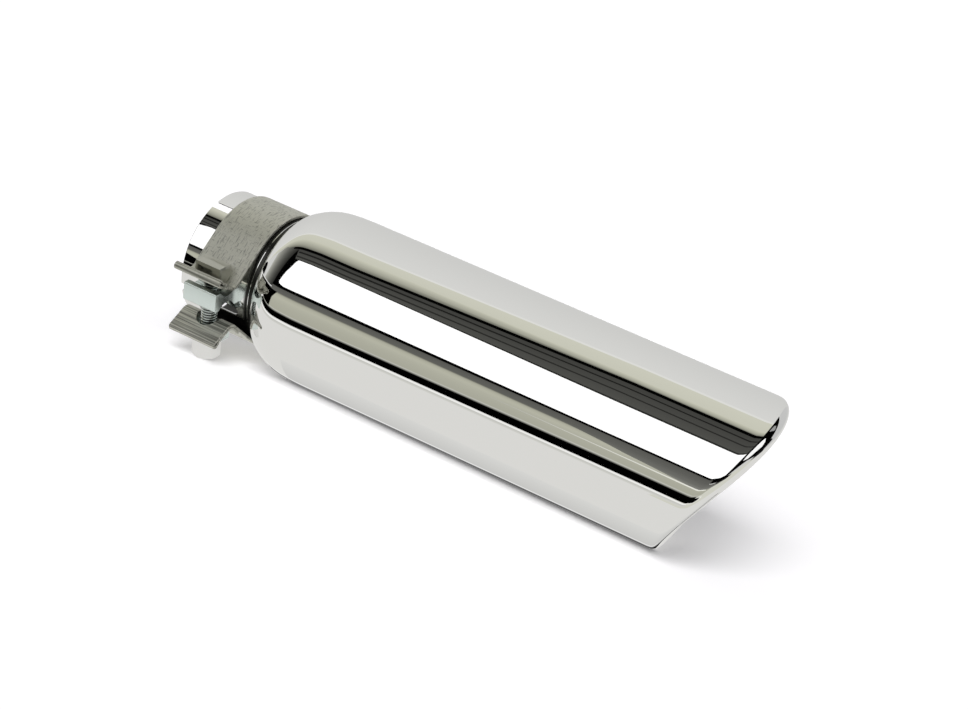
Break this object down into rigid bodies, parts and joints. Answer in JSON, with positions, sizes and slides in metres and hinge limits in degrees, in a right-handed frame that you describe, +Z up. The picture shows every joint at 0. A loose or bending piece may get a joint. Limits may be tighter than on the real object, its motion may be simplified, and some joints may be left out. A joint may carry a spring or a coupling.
{
  "type": "exhaust tip",
  "caption": "Polished tube tip with a domed shoulder, a rolled slanted outlet and a slotted inlet neck, clamped to a tail pipe by a T-bolt band.",
  "frame": {"origin": "centre of the inlet neck's open mouth, on the tube's axis", "axes": "+X along the tube from the inlet to the outlet, +Z up as the tip lies on its shell and its clamp nut, with the clamp's ears towards -Y"},
  "size_m": [0.3778, 0.1167, 0.1016],
  "materials": {
    "polished_steel": "mirror polished",
    "weld_steel": "as welded",
    "band_steel": "mill finish, lightly scratched",
    "zinc_plate": "bright zinc plate",
    "bolt_steel": "zinc plate",
    "nut_steel": "satin zinc plate"
  },
  "bodies": {
    "root": {"outer_shell": "polished_steel", "inlet_neck": "polished_steel", "neck_weld": "weld_steel", "clamp_band": "band_steel", "spacer_block": "zinc_plate", "t_bolt": "bolt_steel", "clamp_nut": "nut_steel", "nut_saddle": "zinc_plate"}
  },
  "joints": []
}
